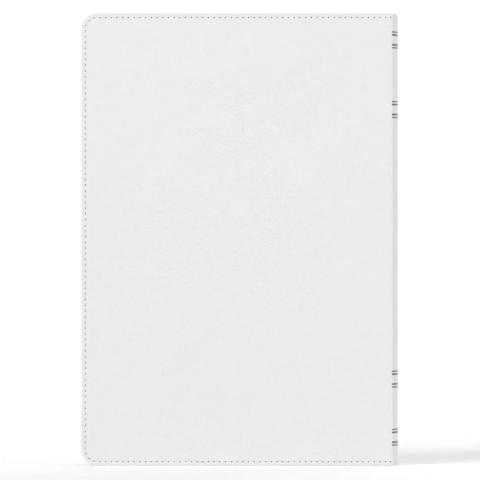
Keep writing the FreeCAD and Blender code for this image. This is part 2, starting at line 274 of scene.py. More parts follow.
def hole_shade_material():
    """The shadow inside a needle hole."""
    s = Shader("needle_hole_painted_shade")
    place = s.coords.outputs["Object"]
    tone = s.mix(s.noise(place, 2500.0, 2.0), (0.06, 0.055, 0.06), (0.16, 0.15, 0.155))
    return s.finish(tone, 0.9, s.bump(s.noise(place, 6000.0), 0.3, 0.00003))


def foil_material():
    """Hot-stamped grey foil, slightly broken over the leather's grain."""
    s = Shader("grey_foil")
    place = s.coords.outputs["Object"]
    pebbles = s.voronoi(place, 950.0, "SMOOTH_F1", 0.6)
    rub = s.noise(place, 1100.0, 3.0, 0.6)
    tone = s.mix(s.remap(rub, 0.45, 0.75, 0.0, 1.0), (0.105, 0.095, 0.105), (0.24, 0.225, 0.235))
    normal = s.bump(pebbles, 0.35, 0.00015)
    roughness = s.remap(rub, 0.3, 0.7, 0.28, 0.46)
    return s.finish(tone, roughness, normal, Metallic=0.75)


def paper_material(name, colour_a, colour_b):
    """Uncoated paper: short fibres over a faint mottle."""
    s = Shader(name)
    place = s.coords.outputs["Object"]
    fibres = s.noise(s.mapping((1.0, 1.0, 2.2)), 900.0, 4.0, 0.65)
    mottle = s.noise(place, 60.0, 3.0)
    tone = s.mix(s.math("MULTIPLY", s.math("ADD", fibres, mottle), 0.5), colour_a, colour_b)
    normal = s.bump(fibres, 0.12, 0.00008)
    return s.finish(tone, s.remap(fibres, 0.3, 0.7, 0.78, 0.92), normal)


# Printed type on the leaves, in millimetres.
COLUMN_CENTRES = (-34.0, 30.0)
COLUMN_HALF_W = 30.0
TYPE_HALF_HEIGHT = 95.0
LINE_PITCH = 3.1
LINE_INKED = 0.42  # share of the pitch


def page_block_material():
    """Thin printed pages: grey type in two columns, silvered cut edges."""
    s = Shader("bible_pages")
    place = s.coords.outputs["Object"]
    x, _, z = s.separate(place)
    _, facing, _ = s.separate(s.coords.outputs["Normal"])
    leaves = s.noise(s.mapping((0.02, 1.0, 0.02)), 9000.0, 2.0, 0.7)
    bundles = s.noise(s.mapping((0.05, 1.0, 0.05)), 1500.0, 2.0)
    # Type area: two columns with a gap, inside even margins.
    across = s.math("MULTIPLY", x, 1.0 / MM)
    down = s.math("MULTIPLY", z, 1.0 / MM)
    column_a, column_b = [s.within(across, centre, COLUMN_HALF_W) for centre in COLUMN_CENTRES]
    columns = s.math("ADD", column_a, column_b, clamp=True)
    height = s.within(down, HEIGHT / 2, TYPE_HALF_HEIGHT)
    line = s.math("FRACT", s.math("DIVIDE", down, LINE_PITCH))
    inked = s.math("LESS_THAN", line, LINE_INKED)
    row = s.math("FLOOR", s.math("DIVIDE", down, LINE_PITCH))
    # Each row of type looks up its words in another part of the noise.
    word_place = s.nodes.new("ShaderNodeCombineXYZ")
    s.link(s.math("MULTIPLY", across, 0.55), word_place.inputs["X"])
    s.link(s.math("MULTIPLY", row, 7.3), word_place.inputs["Y"])
    words = s.math("GREATER_THAN", s.noise(word_place.outputs["Vector"], 1.0, 1.0), 0.43)
    ink = s.math("MULTIPLY", s.math("MULTIPLY", inked, words), s.math("MULTIPLY", columns, height))
    on_face = s.math("GREATER_THAN", s.math("ABSOLUTE", facing), 0.9)
    ink = s.math("MULTIPLY", s.math("MULTIPLY", ink, on_face), 0.55)
    paper = s.mix(s.noise(place, 300.0, 3.0), (0.83, 0.81, 0.75), (0.88, 0.865, 0.81))
    page = s.mix(ink, paper, (0.10, 0.10, 0.11))
    silver = s.mix(leaves, (0.42, 0.42, 0.43), (0.72, 0.72, 0.73))
    is_edge = s.math("SUBTRACT", 1.0, on_face)
    colour = s.mix(is_edge, page, silver)
    normal = s.bump(s.math("MULTIPLY", leaves, is_edge), 0.5, 0.00012)
    normal = s.bump(s.math("MULTIPLY", bundles, is_edge), 0.4, 0.0002, normal)
    roughness = s.mix(is_edge, (0.85, 0.85, 0.85), (0.38, 0.38, 0.38))
    s.link(s.math("MULTIPLY", is_edge, 0.55), s.bsdf.inputs["Metallic"])
    return s.finish(colour, roughness, normal)


def board_material():
    """Grey binder's board with coarse fibres."""
    s = Shader("grey_board")
    place = s.coords.outputs["Object"]
    fibres = s.noise(place, 700.0, 5.0, 0.7)
    tone = s.mix(fibres, (0.28, 0.26, 0.22), (0.42, 0.39, 0.34))
    return s.finish(tone, 0.9, s.bump(fibres, 0.4, 0.0001))


def kraft_material():
    """Brown kraft paper, its fibres running up the spine."""
    s = Shader("kraft_paper")
    place = s.coords.outputs["Object"]
    fibres = s.noise(s.mapping((1.0, 1.0, 0.2)), 1200.0, 4.0, 0.7)
    tone = s.mix(fibres, (0.40, 0.27, 0.15), (0.56, 0.40, 0.25))
    return s.finish(tone, 0.85, s.bump(fibres, 0.3, 0.00008))


def mull_material():
    """Open starched cloth: two sets of threads."""
    s = Shader("mull_cloth")
    place = s.coords.outputs["Object"]
    warp = s.wave(place, 260.0, "Y", 0.4)
    weft = s.wave(place, 260.0, "Z", 0.4)
    weave = s.math("MAXIMUM", warp, weft)
    tone = s.mix(weave, (0.45, 0.42, 0.36), (0.78, 0.75, 0.66))
    return s.finish(tone, 0.9, s.bump(weave, 0.6, 0.00015))


def satin_material():
    """Pale satin with a fine weave across the ribbon."""
    s = Shader("satin_ribbon")
    place = s.coords.outputs["Object"]
    weave = s.wave(place, 1800.0, "Z", 0.2)
    tone = s.mix(s.noise(place, 120.0), (0.62, 0.62, 0.66), (0.72, 0.72, 0.76))
    return s.finish(tone, 0.35, s.bump(weave, 0.3, 0.00004), Sheen_Weight=0.4)


def headband_material():
    """Striped silk over a cord core: white and pale grey turns."""
    s = Shader("headband_silk")
    place = s.coords.outputs["Object"]
    turns = s.wave(place, 0.5 / (HEADBAND_TURN * MM) / 2, "Y", 0.0)
    threads = s.noise(s.mapping((1.0, 6.0, 1.0)), 1500.0, 2.0)
    tone = s.mix(s.remap(turns, 0.45, 0.55, 0.0, 1.0), (0.80, 0.79, 0.78), (0.36, 0.36, 0.39))
    return s.finish(tone, 0.55, s.bump(threads, 0.4, 0.00006), Sheen_Weight=0.3)


def floor_material():
    """White studio floor that glows a little, to stay even."""
    s = Shader("studio_floor")
    place = s.coords.outputs["Object"]
    tone = s.mix(s.noise(place, 3.0), (0.95, 0.95, 0.95), (0.97, 0.97, 0.97))
    return s.finish(tone, 0.9, Emission_Color=(1.0, 1.0, 1.0, 1.0), Emission_Strength=0.17)


LEATHER = leather_material()
COVER_THREAD = thread_material("cover_thread", (0.80, 0.78, 0.79), (0.90, 0.88, 0.89))
LINEN_THREAD = thread_material("linen_thread", (0.70, 0.66, 0.54), (0.80, 0.76, 0.64))
NEEDLE_HOLE_SHADE = hole_shade_material()
FOIL = foil_material()
ENDPAPER = paper_material("endpaper", (0.83, 0.82, 0.80), (0.89, 0.88, 0.86))
PAGES = page_block_material()
BOARD = board_material()
KRAFT = kraft_material()
MULL = mull_material()
SATIN = satin_material()
HEADBAND = headband_material()


# ---------------------------------------------------------------- mesh tools
def mesh_object(name, points, faces, materials):
    """A new object in the scene, from points in millimetres."""
    mesh = bpy.data.meshes.new(name)
    mesh.from_pydata([Vector(p) * MM for p in points], [], faces)
    for material in materials:
        mesh.materials.append(material)
    obj = bpy.data.objects.new(name, mesh)
    bpy.context.scene.collection.objects.link(obj)
    return obj


def clean_mesh(obj, merge=0.002, sharp_degrees=38.0, flip=False):
    """Merge doubled points, smooth the shading and keep real edges sharp."""
    work = bmesh.new()
    work.from_mesh(obj.data)
    bmesh.ops.remove_doubles(work, verts=work.verts, dist=merge * MM)
    bmesh.ops.dissolve_degenerate(work, edges=work.edges, dist=0.0001 * MM)
    if flip:
        bmesh.ops.reverse_faces(work, faces=work.faces)
    limit = math.radians(sharp_degrees)
    for edge in work.edges:
        edge.smooth = len(edge.link_faces) == 2 and edge.calc_face_angle(0.0) < limit
    for face in work.faces:
        face.smooth = True
    work.to_mesh(obj.data)
    work.free()


def face_outwards(obj, smooth=True):
    """Turn all faces outwards; side faces of thin tubes are smooth."""
    work = bmesh.new()
    work.from_mesh(obj.data)
    bmesh.ops.recalc_face_normals(work, faces=work.faces)
    for face in work.faces:
        face.smooth = smooth and len(face.verts) == 4
    work.to_mesh(obj.data)
    work.free()


def give_thickness(obj, thickness):
    """Thicken an open sheet inwards and keep the result as its mesh."""
    modifier = obj.modifiers.new("thickness", "SOLIDIFY")
    modifier.thickness = thickness * MM
    modifier.offset = -1.0
    bpy.context.view_layer.update()
    graph = bpy.context.evaluated_depsgraph_get()
    thick = bpy.data.meshes.new_from_object(obj.evaluated_get(graph))
    obj.modifiers.remove(modifier)
    old = obj.data
    obj.data = thick
    bpy.data.meshes.remove(old)
    obj.data.name = obj.name


def grid_faces(columns, rows, start=0):
    """Quads between neighbours of a grid whose points come column by column."""
    faces = []
    for i in range(columns - 1):
        for j in range(rows - 1):
            a = start + i * rows + j
            faces.append((a, a + rows, a + rows + 1, a + 1))
    return faces


def tube_faces(first, rings, sides):
    """Side faces and both ends of a tube whose points come ring by ring."""
    faces = []
    for n in range(rings - 1):
        for m in range(sides):
            a = first + n * sides + m
            b = first + n * sides + (m + 1) % sides
            faces.append((a, b, b + sides, a + sides))
    last = first + (rings - 1) * sides
    faces.append(tuple(first + m for m in reversed(range(sides))))
    faces.append(tuple(last + m for m in range(sides)))
    return faces


def spaced(low, high, step):
    """Values from low to high, both included, about one step apart."""
    count = max(1, round(abs(high - low) / step))
    return [low + (high - low) * n / count for n in range(count + 1)]


def smooth_step(t):
    """Zero up to 0, one from 1 on, and a soft rise between them."""
    t = min(1.0, max(0.0, t))
    return t * t * (3.0 - 2.0 * t)


# ------------------------------------------------------------- leather shape
def spine_point(turn, depth):
    """(x, y) on the spine, a half oval: turn is 90 degrees at the crease."""
    x = CREASE_X + (SPINE_BULGE - depth) * math.cos(turn)
    return x, (HALF_T - depth) * math.sin(turn)


FINE_TURN = 0.01


def spine_turns(y_start, y_end, step=0.4):
    """Turns of points evenly spaced along the spine between two values of y."""
    fine = spaced(math.asin(y_start / HALF_T), math.asin(y_end / HALF_T), FINE_TURN)
    places = [Vector(spine_point(turn, 0.0)) for turn in fine]
    lengths = [0.0]
    for a, b in zip(places[:-1], places[1:]):
        lengths.append(lengths[-1] + (b - a).length)
    turns = []
    for wanted in spaced(0.0, lengths[-1], step):
        n = max(i for i, length in enumerate(lengths) if length <= wanted + 1e-9)
        if n == len(fine) - 1:
            turns.append(fine[-1])
            continue
        part = (wanted - lengths[n]) / (lengths[n + 1] - lengths[n])
        turns.append(fine[n] + part * (fine[n + 1] - fine[n]))
    return turns


# Waves of the padded cover: (length, height, slice of the noise).
PANEL_WAVES = ((38.0, 0.018, 3.1), (9.0, 0.006, 7.7))


def panel_height(x, z):
    """Soft unevenness of the padded cover, in millimetres above its plane."""
    return sum(height * noise.noise(Vector((x / length, part, z / length)))
               for length, height, part in PANEL_WAVES)


def groove(inset):
    """Depth that the seam pulls the leather down to."""
    return GROOVE_DEPTH * math.exp(-((inset - STITCH_INSET) / GROOVE_WIDTH) ** 2)


# Rings of the rim, from the end of the turn-in to the flat panel.
FLANGE_INSETS = (TURN_IN, 9.0, 5.5, 2.6)
INNER_STEPS = 4
OUTER_STEPS = 7
PANEL_PARTS = (0.04, 0.08, 0.115, 0.14, 0.165, 0.19, 0.215, 0.24, 0.27, 0.31, 0.37, 0.46, 0.6, 0.8)
PANEL_SETTLE = 1.2


def rim_profile(depth, outer_r, inner_r, has_groove):
    """(inset, depth) pairs from the turned-in flange round to the panel."""
    pairs = [(inset, depth) for inset in FLANGE_INSETS]
    for n in range(INNER_STEPS + 1):
        a = math.pi / 2 * n / INNER_STEPS
        pairs.append((inner_r * (1 - math.sin(a)), depth - inner_r * (1 - math.cos(a))))
    for n in range(OUTER_STEPS + 1):
        a = math.pi / 2 * n / OUTER_STEPS
        pairs.append((outer_r * (1 - math.cos(a)), outer_r * (1 - math.sin(a))))
    reach = CORNER_R - outer_r
    for part in PANEL_PARTS:
        inset = outer_r + reach * part
        settle = PANEL_DEPTH * smooth_step((inset - STITCH_INSET) / PANEL_SETTLE)
        pairs.append((inset, (groove(inset) + settle) if has_groove else 0.0))
    return pairs


COVER_RIM = rim_profile(depth=2.0, outer_r=0.8, inner_r=0.4, has_groove=True)
SPINE_RIM = rim_profile(depth=1.4, outer_r=1.2, inner_r=0.3, has_groove=False)
RIM = len(COVER_RIM)
TURNED_RINGS = len(FLANGE_INSETS) + INNER_STEPS + 1

# Rim rows are stretched between here and the corner, to meet its rings.
SQUEEZE_X = 40.0

# The fold beside the spine and the roll on its cover side:
# (height, distance from the crease, width).
FOLD = (0.13, 0.25, 0.3)
ROLL = (0.06, 1.5, 0.7)


def ridge(x, shape):
    """Height at x of a soft ridge beside the crease."""
    height, away, width = shape
    return height * math.exp(-((x - CREASE_X + away) / width) ** 2)


def crease_valley(x):
    """Fold line beside the spine, with a slight roll on the cover side."""
    return ridge(x, FOLD) - ridge(x, ROLL)


# Spacing of the cover's stations: coarse on the panel, fine at the fold.
JOINT_STEP = 0.45
JOINT_END_X = 72.4
FOLD_START_X = 72.6
FOLD_STEP = 0.2

# How soon the rim takes the spine's shape beyond the crease.
SPINE_SHARE_START = 0.25
SPINE_SHARE_STEP = 0.1

# The turned-in flap's loss of thickness in the joint.
THINNED_SHARE = 0.3
THINNED_AFTER = 0.3
THINNED_OVER = 1.8

# Rings over which the panel's unevenness fades in from the edge.
UNEVEN_RINGS = 12


def cover_stations():
    """(x or turn, on the spine?, share of spine shape) along the cover."""
    panel = spaced(-HALF_W + CORNER_R, JOINT_X, PANEL_STEP)[:-1]
    joint = spaced(JOINT_X, JOINT_END_X, JOINT_STEP)
    fold = spaced(FOLD_START_X, CREASE_X, FOLD_STEP)
    stations = [(x, False, 0.0) for x in panel + joint + fold]
    for n, turn in enumerate(spine_turns(HALF_T, SPINE_SPLIT_Y)[1:]):
        stations.append((turn, True, min(1.0, SPINE_SHARE_START + SPINE_SHARE_STEP * n)))
    return stations


def rim_at(k, share):
    """Ring k of the rim, part way from the cover's to the spine's shape."""
    inset = COVER_RIM[k][0] * (1 - share) + SPINE_RIM[k][0] * share
    depth = COVER_RIM[k][1] * (1 - share) + SPINE_RIM[k][1] * share
    return inset, depth


def joint_thinning(x):
    """The turned-in flap is thinner where the leather has to bend."""
    return 1.0 - THINNED_SHARE * smooth_step((x - JOINT_X - THINNED_AFTER) / THINNED_OVER)


def corner_centre(k):
    """Place of ring k's corner centre, from both edges, and its radius."""
    inset = COVER_RIM[k][0]
    radius = max(CORNER_R - inset, 0.5)
    return inset + radius, radius


def ring_corner(i, j):
    """(from the fore-edge, from the tail) of a point in a rounded corner."""
    k = min(i, j)
    if k >= RIM:
        return CORNER_R, CORNER_R
    centre, radius = corner_centre(k)
    dx = RIM - i
    dz = RIM - j
    if dx >= dz:
        angle = math.pi / 4 * dz / dx
    else:
        angle = math.pi / 2 - math.pi / 4 * dx / dz
    return centre - radius * math.cos(angle), centre - radius * math.sin(angle)


def cover_leather(side):
    """The skin of one cover with its joint, up to the stiff spine."""
    sign = SIDES[side]
    stations = cover_stations()
    panel_z = spaced(CORNER_R, HEIGHT - CORNER_R, PANEL_STEP)
    rows = 2 * RIM + len(panel_z)
    points = []

    def row_place(j):
        """Kind and position of row j: rings at both ends, panel between."""
        if j < RIM:
            return j, None
        if j >= RIM + len(panel_z):
            return rows - 1 - j, None
        return None, panel_z[j - RIM]

    for i in range(RIM):
        centre, _ = corner_centre(i)
        inset, depth = COVER_RIM[i]
        for j in range(rows):
            ring, z = row_place(j)
            if ring is None:
                share = (z - CORNER_R) / (HEIGHT - 2 * CORNER_R)
                out_x = inset
                out_z = centre + share * (HEIGHT - 2 * centre)
                out_depth = depth
            else:
                out_x, out_z = ring_corner(i, ring)
                out_depth = COVER_RIM[min(i, ring)][1]
                if j >= RIM:
                    out_z = HEIGHT - out_z
            points.append((-HALF_W + out_x, sign * (HALF_T - out_depth), out_z))

    for place, on_spine, share in stations:
        for j in range(rows):
            ring, z = row_place(j)
            if ring is None:
                depth = 0.0
            else:
                inset, depth = rim_at(ring, share)
                z = inset if j < RIM else HEIGHT - inset
                if ring < TURNED_RINGS:
                    depth *= 1.0 if on_spine else joint_thinning(place)
            if on_spine:
                x, y = spine_point(place, depth)
                points.append((x, sign * y, z))
                continue
            x = place
            if ring is None:
                depth = PANEL_DEPTH - panel_height(x, z)
            else:
                depth -= panel_height(x, z) * smooth_step((ring - TURNED_RINGS) / UNEVEN_RINGS)
            if ring is not None and x < SQUEEZE_X:
                centre, _ = corner_centre(ring)
                scale = (SQUEEZE_X + HALF_W - centre) / (SQUEEZE_X + HALF_W - CORNER_R)
                x = SQUEEZE_X - (SQUEEZE_X - x) * scale
            if ring is None or ring >= TURNED_RINGS:
                depth += crease_valley(x)
            points.append((x, sign * (HALF_T - depth), z))

    faces = grid_faces(RIM + len(stations), rows)
    obj = mesh_object(side + "_cover_leather", points, faces, [LEATHER])
    clean_mesh(obj, flip=sign > 0)
    give_thickness(obj, LEATHER_T)
    clean_mesh(obj, merge=0.0005)
    return obj


def spine_leather():
    """Middle of the spine, turned in at head and tail."""
    turns = spine_turns(SPINE_SPLIT_Y, -SPINE_SPLIT_Y)
    column = list(SPINE_RIM)
    column += [(z, 0.0) for z in spaced(CORNER_R, HEIGHT - CORNER_R, PANEL_STEP)]
    column += [(HEIGHT - inset, depth) for inset, depth in reversed(SPINE_RIM)]
    points = [(*spine_point(turn, depth), z) for turn in turns for z, depth in column]
    faces = grid_faces(len(turns), len(column))
    obj = mesh_object("spine_leather", points, faces, [LEATHER])
    clean_mesh(obj, flip=True)
    give_thickness(obj, LEATHER_T)
    clean_mesh(obj, merge=0.0005)
    return obj


# ----------------------------------------------------------------- stitching
def stitch_path_length():
    """Length of the seam round three sides of a cover."""
    radius = CORNER_R - STITCH_INSET
    run = CREASE_X + HALF_W - STITCH_INSET - radius
    side = HEIGHT - 2 * STITCH_INSET - 2 * radius
    return 2 * run + side + math.pi * radius


def stitch_point(distance):
    """(x, z) on the seam at one distance from the head end of the joint."""
    radius = CORNER_R - STITCH_INSET
    x0 = -HALF_W + STITCH_INSET
    z0 = STITCH_INSET
    z1 = HEIGHT - STITCH_INSET
    run = CREASE_X - x0 - radius
    side = z1 - z0 - 2 * radius
    bend = radius * math.pi / 2
    if distance < run:
        return CREASE_X - distance, z1
    distance -= run
    if distance < bend:
        a = distance / radius
        return x0 + radius * (1 - math.sin(a)), z1 - radius * (1 - math.cos(a))
    distance -= bend
    if distance < side:
        return x0, z1 - radius - distance
    distance -= side
    if distance < bend:
        a = distance / radius
        return x0 + radius * (1 - math.cos(a)), z0 + radius * (1 - math.sin(a))
    return x0 + radius + distance - bend, z0


# One stitch: a thread of two plies that arches between its holes.
THREAD_R = 0.2
THREAD_SIDES = 8
THREAD_RINGS = 11
THREAD_SINK = 0.16
THREAD_ARCH = 0.28
ARCH_POWER = 0.55
THREAD_TAPER = 0.28
PLY_DEPTH = 0.13
PLY_TWIST = 5.0 * math.pi
STITCH_GAP = 0.1  # share of a stitch left bare at each end
SEAM_END_GAP = 0.45

# A needle hole's rings: (share of its radius, rise over the leather).
HOLE_R = 0.3
HOLE_SIDES = 12
HOLE_RINGS = ((1.0, 0.025), (0.6, 0.035), (0.25, 0.03), (1.0, -0.3))

# Hand of the sewer: seeds, and how far holes and threads stray.
STITCH_SEEDS = {"front": 7, "back": 11}
HOLE_STRAY = 0.08
THREAD_STRAY = 0.05


def add_stitch(points, faces, tags, start, end, sign, jitter):
    """One two-ply thread that rises out of one hole and dips into the next."""
    first = len(points)
    along = Vector((end[0] - start[0], 0.0, end[1] - start[1]))
    length = along.length
    along.normalize()
    across = Vector((-along.z, 0.0, along.x))
    outward = Vector((0.0, sign, 0.0))
    floor = HALF_T - GROOVE_DEPTH
    for n in range(THREAD_RINGS):
        t = n / (THREAD_RINGS - 1)
        arch = math.sin(math.pi * t) ** ARCH_POWER
        gone = length * (STITCH_GAP + (1 - 2 * STITCH_GAP) * t)
        centre = Vector((start[0], 0.0, start[1])) + along * gone
        centre += across * (jitter * math.sin(math.pi * t))
        centre.y = sign * (floor - THREAD_SINK + THREAD_ARCH * arch)
        for m in range(THREAD_SIDES):
            a = 2 * math.pi * m / THREAD_SIDES
            ply = 1.0 + PLY_DEPTH * math.cos(2 * a - PLY_TWIST * t)
            radius = THREAD_R * ply * (1 - THREAD_TAPER + THREAD_TAPER * arch)
            step = across * (radius * math.cos(a)) + outward * (radius * math.sin(a))
            points.append(centre + step)
    tube = tube_faces(first, THREAD_RINGS, THREAD_SIDES)
    faces += tube
    tags += [0] * len(tube)


def add_hole(points, faces, tags, place, inward, sign):
    """Small dimple where the needle went through; its dark colour is painted shade."""
    first = len(points)
    for share, rise in HOLE_RINGS:
        for m in range(HOLE_SIDES):
            a = 2 * math.pi * m / HOLE_SIDES
            step = Vector((math.cos(a), math.sin(a))) * HOLE_R * share
            offset = step.x * inward.x + step.y * inward.y
            level = HALF_T - groove(STITCH_INSET + offset) + rise
            points.append(Vector((place[0] + step.x, sign * level, place[1] + step.y)))
    for ring_a, ring_b in ((0, 1), (1, 2), (0, 3)):
        shift = (ring_b - ring_a) * HOLE_SIDES
        for m in range(HOLE_SIDES):
            a = first + ring_a * HOLE_SIDES + m
            b = first + ring_a * HOLE_SIDES + (m + 1) % HOLE_SIDES
            faces.append((a, b, b + shift, a + shift))
            tags.append(1)
    for ring in (2, 3):
        faces.append(tuple(first + ring * HOLE_SIDES + m for m in range(HOLE_SIDES)))
        tags.append(1)


def cover_stitching(side):
    """The seam of one cover, from the head end of the joint to the tail end."""
    sign = SIDES[side]
    rng = random.Random(STITCH_SEEDS[side])
    pitch = stitch_path_length() / STITCH_COUNT
    points, faces, tags = [], [], []
    marks = [n * pitch + rng.uniform(-HOLE_STRAY, HOLE_STRAY) for n in range(STITCH_COUNT + 1)]
    marks[0] = SEAM_END_GAP
    marks[-1] = stitch_path_length() - SEAM_END_GAP
    holes = [stitch_point(mark) for mark in marks]
    for start, end in zip(holes[:-1], holes[1:]):
        jitter = rng.uniform(-THREAD_STRAY, THREAD_STRAY)
        add_stitch(points, faces, tags, start, end, sign, jitter)
    for mark, place in zip(marks, holes):
        ahead = Vector(stitch_point(mark + 0.05)) - Vector(stitch_point(mark - 0.05))
        inward = Vector((-ahead.y, ahead.x)).normalized()
        add_hole(points, faces, tags, place, inward, sign)
    # The holes' faces take the second material, the painted shade inside the needle holes.
    obj = mesh_object(side + "_cover_stitches", points, faces, [COVER_THREAD, NEEDLE_HOLE_SHADE])
    obj.data.polygons.foreach_set("material_index", tags)
    face_outwards(obj)
    return obj


# ---------------------------------------------------------------------- foil
FOIL_SEED = 23
FOIL_RAGGED = 0.035
RAGGED_SCALE = 90.0


def foil_strips(name, turns):
    """The spine rules between two turns, lying on the leather."""
    rng = random.Random(FOIL_SEED)
    points, faces = [], []
    for centre in FOIL_GROUPS:
        for offset, width in FOIL_RULES:
            first = len(points)
            seed = rng.uniform(0, 50)
            for turn in turns:
                ragged = noise.noise(Vector((turn * RAGGED_SCALE, seed, 0.0)))
                half = width / 2 + FOIL_RAGGED * ragged
                section = ((-FOIL_SINK, -half), (FOIL_RISE, -half),
                           (FOIL_RISE, half), (-FOIL_SINK, half))
                for rise, edge in section:
                    points.append((*spine_point(turn, -rise), centre + offset + edge))
            faces += tube_faces(first, len(turns), 4)
    obj = mesh_object(name, points, faces, [FOIL])
    face_outwards(obj, smooth=False)
    return obj


CROSS_BAR = 1.2  # half the width of both bars
CROSS_ARM_SHARE = 0.795  # height of the arm's middle, as a share of the cross
CROSS_LEVELS = (-0.02, 0.022)
CROSS_STEP = 0.6


def front_cross():
    """Plain cross in foil, following the surface of the front cover."""
    low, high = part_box("front_foil_cross")
    low = Vector(low) / MM
    high = Vector(high) / MM
    bar = CROSS_BAR
    arm_z = low.z + CROSS_ARM_SHARE * (high.z - low.z)
    points, faces = [], []

    def plate(x0, x1, z0, z1):
        """One rectangle of foil, with a lower and an upper face and a rim."""
        first = len(points)
        xs = spaced(x0, x1, CROSS_STEP)
        zs = spaced(z0, z1, CROSS_STEP)
        for level in CROSS_LEVELS:
            for x in xs:
                for z in zs:
                    y = HALF_T - PANEL_DEPTH + panel_height(x, z) + level
                    points.append((x, y, z))
        nx, nz = len(xs), len(zs)
        top = first + nx * nz
        faces.extend(grid_faces(nx, nz, first))
        faces.extend(tuple(reversed(f)) for f in grid_faces(nx, nz, top))
        rim = [i * nz for i in range(nx)] + [(nx - 1) * nz + j for j in range(1, nz)]
        rim += [i * nz + nz - 1 for i in range(nx - 2, -1, -1)] + [j for j in range(nz - 2, 0, -1)]
        for a, b in zip(rim, rim[1:] + rim[:1]):
            faces.append((first + a, first + b, top + b, top + a))

    plate(-bar, bar, low.z, arm_z - bar)
    plate(-bar, bar, arm_z + bar, high.z)
    plate(low.x, high.x, arm_z - bar, arm_z + bar)
    obj = mesh_object("front_cross", points, faces, [FOIL])
    face_outwards(obj, smooth=False)
    return obj


# ----------------------------------------------------------------- endpapers
PAPER_T = 0.1
PAPER_FORE_MARGIN = 3.6
PAPER_END_MARGIN = 3.4
PAPER_STEP = 2.0

# The paper sinks a little where it leaves the turned-in leather for the board.
PAPER_SINK = 0.05
SINK_REACH = 2.5
SINK_END_X = 66.0
SINK_FADE = 3.0


def endpaper(side):
    """Pastedown and its hinge: one sheet from inside the cover to the block."""
    sign = SIDES[side]
    inner_y = HALF_T - INNER_DEPTH
    # Wide steps on the cover, finer ones towards the bend.
    xs = spaced(-HALF_W + PAPER_FORE_MARGIN, 60.0, PAPER_STEP)
    xs += spaced(61.0, 69.0, 1.0) + spaced(69.3, 71.7, 0.15)
    zs = spaced(PAPER_END_MARGIN, HEIGHT - PAPER_END_MARGIN, PAPER_STEP)
    points = []
    for x in xs:
        for z in zs:
            inside = min(x + HALF_W - TURN_IN, z - TURN_IN, HEIGHT - TURN_IN - z)
            fade = smooth_step((SINK_END_X - x) / SINK_FADE)
            sink = PAPER_SINK * smooth_step(inside / SINK_REACH + 0.5) * fade
            points.append((x, sign * (inner_y + sink), z))
    faces = grid_faces(len(xs), len(zs))
    obj = mesh_object(side + "_endpaper", points, faces, [ENDPAPER])
    clean_mesh(obj, flip=sign < 0)
    give_thickness(obj, PAPER_T)
    clean_mesh(obj, merge=0.0005)
    return obj


# ----------------------------------------------------------------- headbands
# The curve of the block's back: half chord, height of the arc and its top.
BACK_HALF_CHORD = 12.8
BACK_SAGITTA = 1.5
BACK_TOP_X = 72.6

# The wound cord: half sizes of its section, its middle, and the silk's bulge.
CORD_SIDES = 14
CORD_HALF_OUT = 0.82
CORD_HALF_RISE = 0.78
CORD_MIDDLE_OUT = -0.12
CORD_MIDDLE_RISE = 0.82
CORD_BULGE = 0.14

# The strip of cloth down the back of the block: (out, rise) of its section.
SKIRT = ((0.68, 0.6), (0.95, 0.6), (0.95, -7.0), (0.68, -7.0))
SKIRT_STEP = 0.8
SIDE_GAP = 0.1


def headband(name, node, up):
    """Silk wound over a curved cord, with a strip down the back."""
    high = Vector(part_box(node)[1]) / MM
    block_end = HEIGHT - BLOCK_INSET if up else BLOCK_INSET
    direction = 1.0 if up else -1.0
    half_y = high.y - SIDE_GAP
    radius = (BACK_HALF_CHORD ** 2 + BACK_SAGITTA ** 2) / (2 * BACK_SAGITTA)
    centre_x = BACK_TOP_X - radius
    points = []

    def place(y, out, rise):
        """The point at y, so far out from the block's back and from its end."""
        angle = math.asin(y / radius)
        r = radius + out
        z = block_end + direction * rise
        return centre_x + r * math.cos(angle), r * math.sin(angle), z

    ys = spaced(-half_y, half_y, HEADBAND_TURN / 10)
    for y in ys:
        turn = 0.5 + 0.5 * math.cos(2 * math.pi * y / (HEADBAND_TURN / 2))
        bulge = 1 - CORD_BULGE + CORD_BULGE * turn ** 0.5
        for m in range(CORD_SIDES):
            a = 2 * math.pi * m / CORD_SIDES
            out = CORD_MIDDLE_OUT + CORD_HALF_OUT * bulge * math.cos(a)
            rise = CORD_MIDDLE_RISE + CORD_HALF_RISE * bulge * math.sin(a)
            points.append(place(y, out, rise))
    faces = tube_faces(0, len(ys), CORD_SIDES)
    first = len(points)
    ys = spaced(-half_y, half_y, SKIRT_STEP)
    for y in ys:
        points += [place(y, out, rise) for out, rise in SKIRT]
    faces += tube_faces(first, len(ys), len(SKIRT))
    obj = mesh_object(name, points, faces, [HEADBAND, MULL])
    for polygon in obj.data.polygons:
        polygon.material_index = 1 if min(polygon.vertices) >= first else 0
    face_outwards(obj)
    return obj


# ------------------------------------------------------------------ assembly
def bend_with_cover(piece):
    """Leather and what lies on it: its placement is baked into the mesh; it is not bent or
    attached to a body.
    """
    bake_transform(piece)


FOIL_STEP = 0.3


def build_case():
    """Leather, seams, foil and endpapers; only the spine's middle, its rules and the front cross
    are attached to bodies.
    """
    for side, sign in SIDES.items():
        leather = cover_leather(side)
        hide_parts(side + "_cover_skin", side + "_joint_leather")
        bend_with_cover(leather)
        stitches = cover_stitching(side)
        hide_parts(side + "_stitching", side + "_joint_stitching")
        bend_with_cover(stitches)
        turns = spine_turns(FOIL_END_Y, SPINE_SPLIT_Y, FOIL_STEP)
        foil = foil_strips(side + "_spine_rules", [sign * turn for turn in turns])
        bend_with_cover(foil)
        paper = endpaper(side)
        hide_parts(side + "_pastedown", side + "_hinge_paper")
        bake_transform(paper)
    middle = spine_leather()
    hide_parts("spine_skin")
    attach(middle, "text_block")
    rules = foil_strips("spine_rules", spine_turns(SPINE_SPLIT_Y, -SPINE_SPLIT_Y))
    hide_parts("spine_foil_bands")
    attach(rules, "text_block")
    cross = front_cross()
    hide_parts("front_foil_cross")
    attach(cross, "front_cover")


